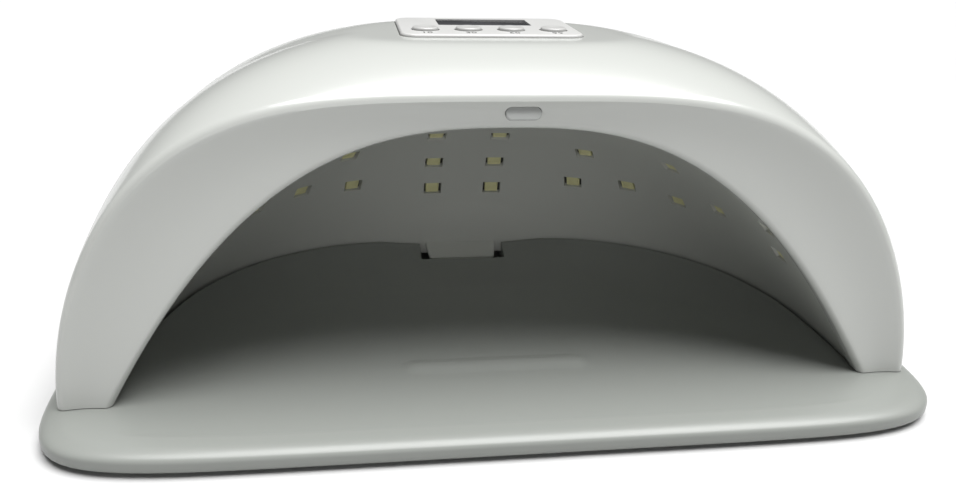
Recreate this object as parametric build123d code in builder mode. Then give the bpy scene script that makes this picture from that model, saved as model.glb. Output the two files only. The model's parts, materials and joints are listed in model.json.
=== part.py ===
import os
from math import cos, pi, sin, sqrt

from build123d import *

os.makedirs("parts", exist_ok=True)

# ---------------------------------------------------------------- driving dimensions (mm)
# Frame: X across, -Y the open front, +Z up; the rubber feet stand on Z = 0.

# base tray
TRAY_HALF_W = 115.0        # half width of the tray
TRAY_MID_Y = -18.0         # widest line of the tray
TRAY_FRONT = 71.0          # reach of the tray in front of that line
TRAY_BACK = 107.0          # reach of the tray behind that line
TRAY_Z0 = 1.0              # underside of the tray moulding
LAND_Z = 6.0               # flat ledge the lamp stands on
COVER_T = 1.2              # bottom cover plate
RIM_RISE = 6.0             # climb of the scoop rim from front to back
FLOOR_BACK_Z = 4.4         # tray floor at the back
FLOOR_TILT = 0.014         # rise of the floor towards the front

# hood (outer shell)
CROWN_Y = -21.0            # section with the largest height and width
HOOD_HALF_W = 111.5
HOOD_H = 86.4              # height of the crown above the foot
HOOD_FOOT_Z = 6.2
FRONT_REACH = 79.0         # bends the front part of the crown line
BACK_REACH = 106.0
PLAN_POWER = 2.4           # roundness of the hood seen from above
CROWN_POWER = 2.17         # roundness of the crown line behind the crown
SHELL_T = 2.4
FACE_Y = -65.6             # front face at the foot
FACE_LEAN = 0.08           # backward lean of the front face
FACE_T = 5.5               # depth of the front band
LIP_SET = 0.3              # inner lip behind the outer edge at the foot
LIP_LEAN = 0.118           # and its backward lean
PANEL_FLAT_Z = 90.4        # flat cut on the crown for the control panel

# arch and reflector
ARCH_HALF_W = 97.6
ARCH_H = 66.6
REFL_HALF_W = 98.5
REFL_H = 67.1
REFL_Y = -64.0
REFL_DEPTH = 101.0
REFL_BASE_Z = 6.05
REFL_T = 1.6
FLANGE_T = 3.0

# control panel
PANEL_W = 48.6
PANEL_D = 33.6
PANEL_Y = -13.0
PANEL_Z = 89.0             # ledge under the panel
PANEL_TOP = 91.2
BUTTON_NAMES = ["10s", "30s", "60s", "99s"]
BUTTON_PITCH = 11.6
BUTTON_Y = -20.5
BUTTON_D = 7.0
BOARD_TOP = 80.2           # component side of the control board

# rear socket and front sensor
JACK_Z = 16.2
JACK_FACE_Y = 83.6
SENSOR_X = 3.0
SENSOR_Z = 76.9
SENSOR_W = 9.0
SENSOR_H = 3.4


# ---------------------------------------------------------------- outlines by formula
def quarter(a, b, n, steps):
    """Points of one superellipse quarter from (a, 0) to (0, b), evenly turned."""
    points = []
    for i in range(steps + 1):
        u, v = cos(0.5 * pi * i / steps), sin(0.5 * pi * i / steps)
        r = ((u / a) ** n + (v / b) ** n) ** (-1 / n)
        points.append((r * u, r * v))
    return points


def tray_outline(inset):
    """Right half of the tray edge, front middle to back middle."""
    front = quarter(TRAY_HALF_W - inset, TRAY_FRONT - inset, 8.0, 16)
    back = quarter(TRAY_HALF_W - inset, TRAY_BACK - inset, 2.8, 10)
    right_front = [(x, TRAY_MID_Y - y) for x, y in reversed(front)]
    right_back = [(x, TRAY_MID_Y + y) for x, y in back[1:]]
    return right_front + right_back


def hood_size(y, inset):
    """Half width, height and the two section powers of the hood at a depth."""
    w = HOOD_HALF_W - inset
    h = HOOD_H - inset
    f = 0.0
    if y <= CROWN_Y:
        f = min(1.0, (CROWN_Y - y) / (CROWN_Y - FACE_Y))
        w -= 0.8 * f * f
        h *= sqrt(1 - ((CROWN_Y - y) / FRONT_REACH) ** 2)
    else:
        u = (y - CROWN_Y) / (BACK_REACH - inset)
        w *= (1 - u ** PLAN_POWER) ** (1 / PLAN_POWER)
        h *= (1 - u ** CROWN_POWER) ** (1 / CROWN_POWER)
    return w, h, 2.76 + 1.26 * f, 1.86


def hood_arc(y, inset, steps=14):
    """Points of a hood section from the right foot over the top to the left foot."""
    w, h, p, q = hood_size(y, inset)
    half = []
    for i in range(steps):
        t = 0.5 * pi * i / steps
        half.append((w * cos(t) ** (2 / p), h * sin(t) ** (2 / q)))
    return half + [(0.0, h)] + [(-x, z) for x, z in reversed(half)]


def rim_arc(inset, steps=14):
    """Edge of the hood on its leaning front face, as (across, up the face)."""
    half = []
    for i in range(steps + 1):
        t = 0.5 * pi * i / steps
        z = 0.0
        for _ in range(12):
            w, h, p, q = hood_size(FACE_Y + FACE_LEAN * z, inset)
            z = h * sin(t) ** (2 / q)
        x = 0.0 if i == steps else w * cos(t) ** (2 / p)
        half.append((x, z * sqrt(1 + FACE_LEAN ** 2)))
    return half + [(-x, z) for x, z in reversed(half[:-1])]


def refl_size(y, grow):
    """Half width and height of the reflector at a depth."""
    u = min(max((y - REFL_Y) / (REFL_DEPTH + grow), 0.0), 0.985)
    a = (REFL_HALF_W + grow) * (1 - u ** 2.8) ** (1 / 2.8)
    h = (REFL_H + grow) * (1 - u ** 2.5) ** 0.4
    return a, h


def refl_arc(y, grow, steps=12):
    a, h = refl_size(y, grow)
    xs = [a * sin(0.5 * pi * i / steps) for i in range(-steps, steps + 1)]
    return [(-x, h * (1 - (abs(x) / a) ** 2.65)) for x in xs]


def rim_height(u):
    """Top of the scoop rim at a share of the reflector's depth."""
    return LAND_Z + RIM_RISE * max(min(u, 1.0) - 0.04, 0.0) ** 0.75


def tray_height(x, y):
    """Top surface of the scooped tray floor inside the reflector."""
    floor = FLOOR_BACK_Z - FLOOR_TILT * min(y, 0.0)
    u = max(y - REFL_Y, 0.0) / REFL_DEPTH
    v = abs(x) / REFL_HALF_W
    s = (v ** 2.8 + u ** 2.8) ** (1 / 2.8) / (1 - 0.028 * v * v)
    crease = 0.70 + 0.19 * v ** 3
    k = min(max((s - crease) / (1 - crease), 0.0), 1.0)
    rim = LAND_Z + 0.2 + (RIM_RISE - 0.2) * min(u, 1.0) ** 0.8
    return max(floor + (rim - floor) * k ** 1.7, floor)


def ordered_loft(sections, base_z, drop=0.0):
    """Loft closed sections (depth, points) that stand across the Y axis."""
    with BuildPart() as body:
        for y, pts in sections:
            with BuildSketch(Plane(origin=(0, y, base_z), x_dir=(1, 0, 0), z_dir=(0, -1, 0))):
                with BuildLine():
                    Spline(*pts)
                    Polyline(pts[-1], (pts[-1][0], -drop), (pts[0][0], -drop), pts[0])
                make_face()
        loft()
    return body.part


def plain_loft(sections, base_z):
    with BuildPart() as body:
        for y, pts in sections:
            with BuildSketch(Plane(origin=(0, y, base_z), x_dir=(1, 0, 0), z_dir=(0, -1, 0))):
                with BuildLine():
                    Spline(*pts)
                    Line(pts[-1], pts[0])
                make_face()
        loft()
    return body.part


def back_steps(start, reach, shares):
    return [start + reach * s for s in shares]


def leaning_plane(set_back, lean=FACE_LEAN):
    """Plane of the front face moved back; its normal points forward."""
    return Plane(origin=(0, FACE_Y + set_back, HOOD_FOOT_Z), x_dir=(1, 0, 0), z_dir=(0, -1, lean))


def hood_solid(inset, y_front):
    shares = [0.0, 0.25, 0.45, 0.62, 0.76, 0.87, 0.94, 0.975, 0.988]
    ys = [y_front, -64.0, -50.0, -36.0] + back_steps(CROWN_Y, BACK_REACH - inset, shares)
    return plain_loft([(y, hood_arc(y, inset)) for y in ys], HOOD_FOOT_Z)


def refl_solid(grow, y_front):
    shares = [0.12, 0.3, 0.5, 0.66, 0.78, 0.87, 0.93, 0.965, 0.985]
    ys = [y_front, REFL_Y] + back_steps(REFL_Y, REFL_DEPTH + grow, shares)
    return plain_loft([(y, refl_arc(y, grow)) for y in ys], REFL_BASE_Z)


def arch_points(half_w, height, steps=12):
    xs = [half_w * sin(0.5 * pi * i / steps) for i in range(-steps, steps + 1)]
    return [(-x, height * (1 - (abs(x) / half_w) ** 2.65)) for x in xs]


def box_part(x0, x1, y0, y1, z0, z1):
    with BuildPart() as block:
        with Locations((0.5 * (x0 + x1), 0.5 * (y0 + y1), 0.5 * (z0 + z1))):
            Box(x1 - x0, y1 - y0, z1 - z0)
    return block.part


def slab_part(set_back, depth):
    """Leaning slab parallel to the front face, reaching backwards."""
    with BuildPart() as slab:
        with BuildSketch(leaning_plane(set_back)):
            Rectangle(400, 400)
        extrude(amount=-depth)
    return slab.part


# ---------------------------------------------------------------- shared tool bodies
hood_outer = hood_solid(0.0, -76.0)
hood_inner = hood_solid(SHELL_T, -76.0)
refl_inner = refl_solid(0.0, -90.0)
refl_outer = refl_solid(REFL_T, -90.0)
behind_face = slab_part(0.0, 190.0)
behind_band = slab_part(FACE_T, 190.0)
behind_flange = slab_part(FACE_T + 0.2, 190.0)
front_ring_slab = slab_part(FACE_T + 0.2, 2.0)

POSTS = [(-102.2, -40.0), (102.2, -40.0), (-72.0, 44.0), (72.0, 44.0)]
MAGNETS = [(-102.8, -22.0), (102.8, -22.0), (-45.0, 62.0), (45.0, 62.0)]

# places of the LED windows: (x, z) looked at from the front, on the reflector wall
CENTRE_WINDOWS = [(x, z) for z in (30.4, 40.9, 52.2) for x in (-10.2, 10.2)]
SIDE_WINDOWS = [(37.9, 46.7), (37.2, 33.9), (53.2, 35.4), (58.1, 49.0), (66.3, 34.0), (72.6, 37.0)]
FRONT_WINDOWS = [(72.7, 42.9), (80.9, 32.6)]


def refl_depth_at(x, z, grow=0.0):
    """Depth of the reflector wall behind a point (x, z) of the arch opening."""
    low, high = REFL_Y, REFL_Y + REFL_DEPTH * 0.985
    for _ in range(40):
        mid = 0.5 * (low + high)
        a, h = refl_size(mid, grow)
        inside = abs(x) < a and REFL_BASE_Z + h * (1 - (abs(x) / a) ** 2.65) > z
        low, high = (mid, high) if inside else (low, mid)
    return 0.5 * (low + high)


def refl_normal(x, z):
    """Inward normal of the reflector wall at the point (x, z)."""
    e = 0.4
    y = refl_depth_at(x, z)
    dx = (refl_depth_at(x + e, z) - refl_depth_at(x - e, z)) / (2 * e)
    dz = (refl_depth_at(x, z + e) - refl_depth_at(x, z - e)) / (2 * e)
    return Vector(x, y, z), Vector(dx, -1.0, dz).normalized()


def window_plane(x, z):
    point, normal = refl_normal(x, z)
    side = Vector(0, 0, 1).cross(normal)
    return Plane(origin=point, x_dir=side, z_dir=normal)


def window_planes(places):
    return [window_plane(x, z) for x, z in places]


right_places = SIDE_WINDOWS + FRONT_WINDOWS
left_places = [(-x, z) for x, z in right_places]
PLANES_BACK = window_planes(CENTRE_WINDOWS)
PLANES_RIGHT = window_planes(right_places)
PLANES_LEFT = window_planes(left_places)

WINDOW_W = 5.6
WINDOW_H = 3.4
LED_W = 3.6
LED_H = 3.0


# ================================================================ base tray
with BuildPart() as scoop_cutter:
    cutter_shares = [0.15, 0.35, 0.55, 0.7, 0.82, 0.9, 0.95, 0.98]
    cutter_depths = [-98.0, -90.0, -82.0, -74.0, REFL_Y] + back_steps(REFL_Y, REFL_DEPTH, cutter_shares)
    for depth in cutter_depths:
        half = refl_size(depth, -0.6)[0]
        if depth < REFL_Y:
            half = REFL_HALF_W - 0.6
        across = [half * sin(0.5 * pi * i / 8) for i in range(-8, 9)]
        top_line = [(x, tray_height(x, depth)) for x in across]
        with BuildSketch(Plane(origin=(0, depth, 0), x_dir=(1, 0, 0), z_dir=(0, -1, 0))):
            with BuildLine():
                Spline(*top_line)
                Polyline(top_line[-1], (half, 30.0), (-half, 30.0), top_line[0])
            make_face()
    loft()

# rim of the scoop: follows the inside of the reflector, cut to the rim height later
rim_shares = [0.12, 0.3, 0.5, 0.66, 0.78, 0.87, 0.93, 0.965, 0.985]
rim_depths = [REFL_Y] + back_steps(REFL_Y, REFL_DEPTH - 0.6, rim_shares)
rim_core = ordered_loft([(y, refl_arc(y, -0.6)) for y in rim_depths], REFL_BASE_Z, 4.0)
rim_line = [(REFL_Y + REFL_DEPTH * 0.08 * i + 4.04, rim_height(0.08 * i + 0.04)) for i in range(13)]

with BuildPart() as rim_block:
    add(rim_core)
    # top of the rim climbs towards the back corners
    with BuildSketch(Plane.YZ.offset(-120)):
        with BuildLine():
            Polyline(*rim_line)
            Polyline(rim_line[-1], (60, 13), (60, 90), (-90, 90), (-90, LAND_Z), rim_line[0])
        make_face()
    extrude(amount=240, mode=Mode.SUBTRACT)
    # and dips gently in the middle
    with BuildSketch(Plane.XZ.offset(-60)):
        with BuildLine():
            Spline((-62, 13.4), (-40, 12.2), (-20, 11.0), (0, 10.2), (20, 11.0), (40, 12.2), (62, 13.4))
            Polyline((62, 13.4), (62, 20), (-62, 20), (-62, 13.4))
        make_face()
    extrude(amount=60, mode=Mode.SUBTRACT)


def tray_plate(inset, z0, z1):
    with BuildPart() as plate:
        with BuildSketch(Plane.XY.offset(z0)):
            with BuildLine():
                right = tray_outline(inset)
                left = [(-x, y) for x, y in reversed(right[1:-1])]
                Spline(*right, *left, periodic=True)
            make_face()
        extrude(amount=z1 - z0)
    return plate.part


tray_block = tray_plate(0.0, TRAY_Z0, LAND_Z)
cover_recess = tray_plate(4.0, TRAY_Z0 - 1.0, TRAY_Z0 + COVER_T)
pocket_zone = tray_plate(6.0, TRAY_Z0 + COVER_T, LAND_Z - 2.0)

# hollow pockets under the ledge behind the scoop, left clear of the screw bosses
COVER_SCREWS = [(-94.0, -62.0), (94.0, -62.0), (-66.0, 66.0), (66.0, 66.0)]
with BuildPart() as under_pockets:
    with BuildSketch(Plane.XY.offset(TRAY_Z0 + COVER_T)):
        with Locations((0, 62.0)):
            Rectangle(60.0, 22.0)
        with Locations((-98.0, 2.0), (98.0, 2.0)):
            Rectangle(8.0, 44.0)
        with Locations((-34.0, -70.0), (34.0, -70.0)):
            Rectangle(52.0, 16.0)
    extrude(amount=2.0)

with BuildPart() as tray_top:
    add(tray_block)
    fillet(tray_top.faces().sort_by(Axis.Z)[-1].edges(), radius=3.2)
    fillet(tray_top.faces().sort_by(Axis.Z)[0].edges(), radius=1.6)
    add(rim_block.part)
    add(scoop_cutter.part, mode=Mode.SUBTRACT)
    # finger ridge on the floor
    with BuildSketch(Plane.XY.offset(3.0)):
        with Locations((0, -50.0)):
            SlotOverall(51.0, 7.6)
    extrude(amount=3.4)
    # notch for the tongue of the reflector
    with Locations((0, 34.0, 8.4)):
        Box(29.0, 15.6, 10.0, mode=Mode.SUBTRACT)
    add(cover_recess, mode=Mode.SUBTRACT)
    add(under_pockets.part, mode=Mode.SUBTRACT)
    # seats of the steel discs and pilot holes of the cover screws
    for x, y in MAGNETS:
        with Locations((x, y, LAND_Z - 0.5)):
            Cylinder(4.15, 1.0, mode=Mode.SUBTRACT)
    for x, y in COVER_SCREWS:
        with Locations((x, y, TRAY_Z0 + COVER_T + 1.2)):
            Cylinder(1.1, 2.4, mode=Mode.SUBTRACT)
tray_top.part.label = "tray_top"
export_step(tray_top.part, "parts/tray_top.step")

with BuildPart() as tray_bottom_cover:
    add(tray_plate(4.3, TRAY_Z0, TRAY_Z0 + COVER_T))
    for x, y in COVER_SCREWS:
        with Locations((x, y, TRAY_Z0 + 0.6)):
            Cylinder(1.5, 4.0, mode=Mode.SUBTRACT)
tray_bottom_cover.part.label = "tray_bottom_cover"
export_step(tray_bottom_cover.part, "parts/tray_bottom_cover.step")

FEET = [(-84.0, -66.0), (84.0, -66.0), (-78.0, 52.0), (78.0, 52.0)]
with BuildPart() as tray_feet:
    for x, y in FEET:
        with BuildSketch(Plane.XY):
            with Locations((x, y)):
                Circle(6.0)
        extrude(amount=TRAY_Z0)
    fillet(tray_feet.faces().group_by(Axis.Z)[0].edges(), radius=0.4)
tray_feet.part.label = "tray_feet"
export_step(tray_feet.part, "parts/tray_feet.step")

with BuildPart() as tray_cover_screws:
    for x, y in COVER_SCREWS:
        with BuildSketch(Plane.XY.offset(TRAY_Z0 - 0.7)):
            with Locations((x, y)):
                Circle(2.4)
        extrude(amount=0.7)
        with BuildSketch(Plane.XY.offset(TRAY_Z0)):
            with Locations((x, y)):
                Circle(1.0)
        extrude(amount=COVER_T + 2.2)
        with Locations((x, y, TRAY_Z0 - 0.7)):
            Box(2.8, 0.6, 0.7, mode=Mode.SUBTRACT)
            Box(0.6, 2.8, 0.7, mode=Mode.SUBTRACT)
tray_cover_screws.part.label = "tray_cover_screws"
export_step(tray_cover_screws.part, "parts/tray_cover_screws.step")

with BuildPart() as strike_plates:
    for x, y in MAGNETS:
        with BuildSketch(Plane.XY.offset(LAND_Z - 1.0)):
            with Locations((x, y)):
                Circle(4.0)
        extrude(amount=0.9)
strike_plates.part.label = "strike_plates"
export_step(strike_plates.part, "parts/strike_plates.step")

# ================================================================ outer shell
with BuildPart() as arch_cut:
    with BuildSketch(Plane(origin=(0, -90, HOOD_FOOT_Z), x_dir=(1, 0, 0), z_dir=(0, -1, 0))):
        with BuildLine():
            lip = arch_points(ARCH_HALF_W, ARCH_H)
            Spline(*lip)
            Polyline(lip[-1], (-ARCH_HALF_W, -10), (ARCH_HALF_W, -10), lip[0])
        make_face()
    extrude(amount=-60)

with BuildPart() as cheek_cut:
    rim_pts = rim_arc(1.3, 12)
    lip_pts = arch_points(ARCH_HALF_W + 0.6, ARCH_H + 0.8, 12)
    for plane, pts in ((leaning_plane(-0.01), rim_pts), (leaning_plane(LIP_SET, LIP_LEAN), lip_pts)):
        with BuildSketch(plane):
            with BuildLine():
                Spline(*pts)
                Polyline(pts[-1], (pts[-1][0], -6), (pts[0][0], -6), pts[0])
            make_face()
    loft(ruled=True)

shell_hollow = hood_inner.intersect(behind_band)

with BuildPart() as post_stock:
    with BuildSketch(Plane.XY.offset(REFL_BASE_Z + FLANGE_T + 0.2)):
        with Locations(*POSTS):
            Circle(3.4)
    extrude(amount=62)
post_body = post_stock.part.intersect(hood_solid(SHELL_T - 0.8, -76.0))

with BuildPart() as outer_shell:
    add(hood_outer)
    add(behind_face, mode=Mode.INTERSECT)
    # flat on the crown for the control panel
    with Locations((0, PANEL_Y, PANEL_FLAT_Z + 5)):
        Box(120, 120, 10, mode=Mode.SUBTRACT)
    add(shell_hollow, mode=Mode.SUBTRACT)
    # ledge frame that carries the control panel
    with BuildSketch(Plane.XY.offset(PANEL_Z - 2.6)):
        with Locations((0, PANEL_Y)):
            RectangleRounded(PANEL_W + 5, PANEL_D + 5, 5)
    extrude(amount=2.6)
    with BuildSketch(Plane.XY.offset(PANEL_Z)):
        with Locations((0, PANEL_Y)):
            RectangleRounded(PANEL_W + 0.5, PANEL_D + 0.5, 4.5)
    extrude(amount=6, mode=Mode.SUBTRACT)
    with BuildSketch(Plane.XY.offset(PANEL_Z - 4)):
        with Locations((0, PANEL_Y)):
            RectangleRounded(PANEL_W - 4.2, PANEL_D - 5, 3)
    extrude(amount=8, mode=Mode.SUBTRACT)
    # pillars that hold the control board
    with BuildSketch(Plane.XY.offset(BOARD_TOP + 0.1)):
        with Locations((0, PANEL_Y)):
            with GridLocations(PANEL_W - 1.0, PANEL_D - 1.0, 2, 2):
                Circle(2.2)
    extrude(until=Until.NEXT)
    add(post_body)
    add(arch_cut.part, mode=Mode.SUBTRACT)
    add(cheek_cut.part, mode=Mode.SUBTRACT)
    # pilot holes of the posts and of the board pillars
    with Locations(*[(x, y, REFL_BASE_Z + 8.0) for x, y in POSTS]):
        Cylinder(1.3, 12.0, mode=Mode.SUBTRACT)
    with Locations((0, PANEL_Y, BOARD_TOP + 2.0)):
        with GridLocations(PANEL_W - 1.0, PANEL_D - 1.0, 2, 2):
            Cylinder(0.9, 4.4, mode=Mode.SUBTRACT)
    # round hole of the power socket
    with BuildSketch(Plane(origin=(0, 90, JACK_Z), x_dir=(1, 0, 0), z_dir=(0, -1, 0))):
        Circle(4.2)
    extrude(amount=11.0, mode=Mode.SUBTRACT)
    # slot of the sensor window in the front band
    with BuildSketch(Plane(origin=(SENSOR_X, -70, SENSOR_Z), x_dir=(1, 0, 0), z_dir=(0, -1, 0))):
        SlotOverall(SENSOR_W, SENSOR_H)
    extrude(amount=-16.0, mode=Mode.SUBTRACT)
outer_shell.part.label = "outer_shell"
export_step(outer_shell.part, "parts/outer_shell.step")

# ================================================================ inner reflector
with BuildPart() as base_flange:
    with BuildSketch(Plane.XY.offset(REFL_BASE_Z)):
        with BuildLine():
            rear = quarter(HOOD_HALF_W - SHELL_T - 0.5, BACK_REACH - SHELL_T - 1.7, PLAN_POWER, 12)
            right_rear = [(x, CROWN_Y + y) for x, y in rear]
            left_rear = [(-x, y) for x, y in reversed(right_rear[:-1])]
            Spline(*(right_rear + left_rear))
            edge_x = HOOD_HALF_W - SHELL_T - 0.5
            Polyline((-edge_x, CROWN_Y), (-edge_x + 0.9, -59.0), (edge_x - 0.9, -59.0), (edge_x, CROWN_Y))
        make_face()
    extrude(amount=FLANGE_T)

reflector_face_ring = refl_solid(REFL_T + 5.0, -90.0).intersect(front_ring_slab)

with BuildPart() as inner_reflector:
    add(refl_outer)
    add(base_flange.part)
    add(reflector_face_ring)
    add(behind_flange, mode=Mode.INTERSECT)
    with Locations((0, 0, REFL_BASE_Z - 10)):
        Box(400, 400, 20, mode=Mode.SUBTRACT)
    add(refl_inner, mode=Mode.SUBTRACT)
    # tongue that drops into the notch of the tray
    with BuildSketch(Plane(origin=(0, 36.4, 10.6), x_dir=(1, 0, 0), z_dir=(0, -0.555, 0.832))):
        Polygon((-12.6, 0), (12.6, 0), (11.0, -9.2), (-11.0, -9.2), align=None)
    extrude(amount=-1.6)
    with Locations(*[(x, y, REFL_BASE_Z + 1.85) for x, y in MAGNETS]):
        Cylinder(5.0, 3.7)
        Cylinder(3.65, 12.0, mode=Mode.SUBTRACT)
    with Locations(*[(x, y, REFL_BASE_Z + 1.0) for x, y in POSTS]):
        Cylinder(1.7, 8.0, mode=Mode.SUBTRACT)
    with Locations(*[(x, y, REFL_BASE_Z + 0.6) for x, y in POSTS]):
        Cylinder(3.2, 1.9, mode=Mode.SUBTRACT)
    for place in PLANES_BACK + PLANES_RIGHT + PLANES_LEFT:
        with Locations(place.location):
            Box(WINDOW_W, WINDOW_H, 7.0, mode=Mode.SUBTRACT)
    # room for the sensor board at the top of the front ring
    with Locations((SENSOR_X, -54.0, 79.4)):
        Box(20.0, 8.0, 8.0, mode=Mode.SUBTRACT)
inner_reflector.part.label = "inner_reflector"
export_step(inner_reflector.part, "parts/inner_reflector.step")

# ================================================================ LEDs and their flexible boards
STRIP_IN = 2.9
STRIP_OUT = 3.3
STUDS_SIDE = [(46.5, 42.5), (67.5, 43.0)]
STUDS_BACK = [(0.0, 30.4), (0.0, 52.2)]
sheet_outer = refl_solid(STRIP_OUT, -66.0)
sheet_inner = refl_solid(STRIP_IN, -66.0)
PLANES_STUDS = {
    "back": window_planes(STUDS_BACK),
    "right": window_planes(STUDS_SIDE),
    "left": window_planes([(-x, z) for x, z in STUDS_SIDE]),
}
STRIP_ZONES = {
    "back": box_part(-18.0, 18.0, 0.0, 60.0, 25.0, 58.0),
    "right": box_part(30.0, 110.0, -53.0, 60.0, 26.0, 55.0),
    "left": box_part(-110.0, -30.0, -53.0, 60.0, 26.0, 55.0),
}
LED_PLANES = {"back": PLANES_BACK, "right": PLANES_RIGHT, "left": PLANES_LEFT}

for zone in ("back", "right", "left"):
    with BuildPart() as led_board:
        add(sheet_outer)
        add(sheet_inner, mode=Mode.SUBTRACT)
        add(STRIP_ZONES[zone], mode=Mode.INTERSECT)
        for place in PLANES_STUDS[zone]:
            with Locations(place.location):
                Cylinder(1.3, 14.0, mode=Mode.SUBTRACT)
    led_board.part.label = "led_board_" + zone
    export_step(led_board.part, "parts/led_board_" + zone + ".step")

    with BuildPart() as uv_leds:
        for place in LED_PLANES[zone]:
            with BuildSketch(place.offset(-2.4)):
                Rectangle(LED_W, LED_H)
            extrude(amount=2.0)
    uv_leds.part.label = "uv_leds_" + zone
    export_step(uv_leds.part, "parts/uv_leds_" + zone + ".step")

with BuildPart() as led_board_studs:
    for zone in ("back", "right", "left"):
        for place in PLANES_STUDS[zone]:
            with BuildSketch(place.offset(-4.8)):
                Circle(2.2)
            extrude(amount=0.9)
            with BuildSketch(place.offset(-3.9)):
                Circle(0.9)
            extrude(amount=2.1)
led_board_studs.part.label = "led_board_studs"
export_step(led_board_studs.part, "parts/led_board_studs.step")

# ================================================================ fasteners and magnets of the lamp
with BuildPart() as lamp_magnets:
    for x, y in MAGNETS:
        with BuildSketch(Plane.XY.offset(REFL_BASE_Z + 0.25)):
            with Locations((x, y)):
                Circle(3.5)
        extrude(amount=2.5)
lamp_magnets.part.label = "lamp_magnets"
export_step(lamp_magnets.part, "parts/lamp_magnets.step")

with BuildPart() as reflector_screws:
    for x, y in POSTS:
        with BuildSketch(Plane.XY.offset(REFL_BASE_Z + 0.2)):
            with Locations((x, y)):
                Circle(2.8)
        extrude(amount=1.3)
        with BuildSketch(Plane.XY.offset(REFL_BASE_Z + 1.5)):
            with Locations((x, y)):
                Circle(1.2)
        extrude(amount=8.0)
        with Locations((x, y, REFL_BASE_Z + 0.2)):
            Box(3.2, 0.7, 1.0, mode=Mode.SUBTRACT)
            Box(0.7, 3.2, 1.0, mode=Mode.SUBTRACT)
reflector_screws.part.label = "reflector_screws"
export_step(reflector_screws.part, "parts/reflector_screws.step")

# ================================================================ control panel on the crown
button_places = [(BUTTON_PITCH * (i - 1.5), BUTTON_Y) for i in range(4)]
DISPLAY_Y = -6.0

with BuildPart() as control_panel:
    with BuildSketch(Plane.XY.offset(PANEL_Z)):
        with Locations((0, PANEL_Y)):
            RectangleRounded(PANEL_W, PANEL_D, 4.2)
    extrude(amount=PANEL_TOP - PANEL_Z)
    fillet(control_panel.faces().sort_by(Axis.Z)[-1].edges(), radius=0.6)
    with Locations(*[(x, y, PANEL_Z) for x, y in button_places]):
        Cylinder(3.85, 8.0, mode=Mode.SUBTRACT)
    with Locations((0, DISPLAY_Y, PANEL_TOP)):
        Box(26.0, 12.0, 2.2, mode=Mode.SUBTRACT)
        Box(23.0, 10.6, 8.0, mode=Mode.SUBTRACT)
control_panel.part.label = "control_panel"
export_step(control_panel.part, "parts/control_panel.step")

with BuildPart() as display_window:
    with BuildSketch(Plane.XY.offset(PANEL_TOP - 1.1)):
        with Locations((0, DISPLAY_Y)):
            RectangleRounded(25.8, 11.8, 0.4)
    extrude(amount=1.05)
display_window.part.label = "display_window"
export_step(display_window.part, "parts/display_window.step")

with BuildPart() as display_module:
    with BuildSketch(Plane.XY.offset(BOARD_TOP)):
        with Locations((0, DISPLAY_Y)):
            Rectangle(22.0, 10.0)
    extrude(amount=9.6)
display_module.part.label = "display_module"
export_step(display_module.part, "parts/display_module.step")

BOARD_T = 1.6
with BuildPart() as control_board:
    with BuildSketch(Plane.XY.offset(BOARD_TOP - BOARD_T)):
        with Locations((0, PANEL_Y)):
            RectangleRounded(57.0, 39.0, 2.0)
            with GridLocations(PANEL_W - 1.0, PANEL_D - 1.0, 2, 2):
                Circle(1.2, mode=Mode.SUBTRACT)
    extrude(amount=BOARD_T)
control_board.part.label = "control_board"
export_step(control_board.part, "parts/control_board.step")

with BuildPart() as control_board_screws:
    with BuildSketch(Plane.XY.offset(BOARD_TOP - BOARD_T - 1.3)):
        with Locations((0, PANEL_Y)):
            with GridLocations(PANEL_W - 1.0, PANEL_D - 1.0, 2, 2):
                Circle(2.0)
    extrude(amount=1.3)
    with BuildSketch(Plane.XY.offset(BOARD_TOP - BOARD_T)):
        with Locations((0, PANEL_Y)):
            with GridLocations(PANEL_W - 1.0, PANEL_D - 1.0, 2, 2):
                Circle(0.85)
    extrude(amount=4.6)
    with Locations((0, PANEL_Y, BOARD_TOP - BOARD_T - 1.3)):
        with GridLocations(PANEL_W - 1.0, PANEL_D - 1.0, 2, 2):
            Box(2.4, 0.6, 1.0, mode=Mode.SUBTRACT)
            Box(0.6, 2.4, 1.0, mode=Mode.SUBTRACT)
control_board_screws.part.label = "control_board_screws"
export_step(control_board_screws.part, "parts/control_board_screws.step")

STEM_R = 1.6
with BuildPart() as tact_switches:
    for x, y in button_places:
        with BuildSketch(Plane.XY.offset(BOARD_TOP)):
            with Locations((x, y)):
                Rectangle(6.0, 6.0)
        extrude(amount=3.5)
        with Locations((x, y, BOARD_TOP + 2.4)):
            Cylinder(STEM_R + 0.35, 2.8, mode=Mode.SUBTRACT)
tact_switches.part.label = "tact_switches"
export_step(tact_switches.part, "parts/tact_switches.step")

for (x, y), name in zip(button_places, BUTTON_NAMES):
    with BuildPart() as switch_stem:
        with BuildSketch(Plane.XY.offset(BOARD_TOP + 2.2)):
            with Locations((x, y)):
                Circle(STEM_R)
        extrude(amount=2.2)
    switch_stem.part.label = "switch_stem_" + name
    export_step(switch_stem.part, "parts/switch_stem_" + name + ".step")

    with BuildPart() as button:
        with BuildSketch(Plane.XY.offset(BOARD_TOP + 4.4)):
            with Locations((x, y)):
                Circle(1.5)
        extrude(amount=4.0)
        with BuildSketch(Plane.XY.offset(BOARD_TOP + 7.4)):
            with Locations((x, y)):
                Circle(4.5)
        extrude(amount=1.0)
        with BuildSketch(Plane.XY.offset(BOARD_TOP + 8.4)):
            with Locations((x, y)):
                Circle(0.5 * BUTTON_D)
        extrude(amount=PANEL_TOP + 0.8 - BOARD_TOP - 8.4)
        fillet(button.faces().sort_by(Axis.Z)[-1].edges(), radius=0.5)
    button.part.label = "button_" + name
    export_step(button.part, "parts/button_" + name + ".step")

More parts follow.
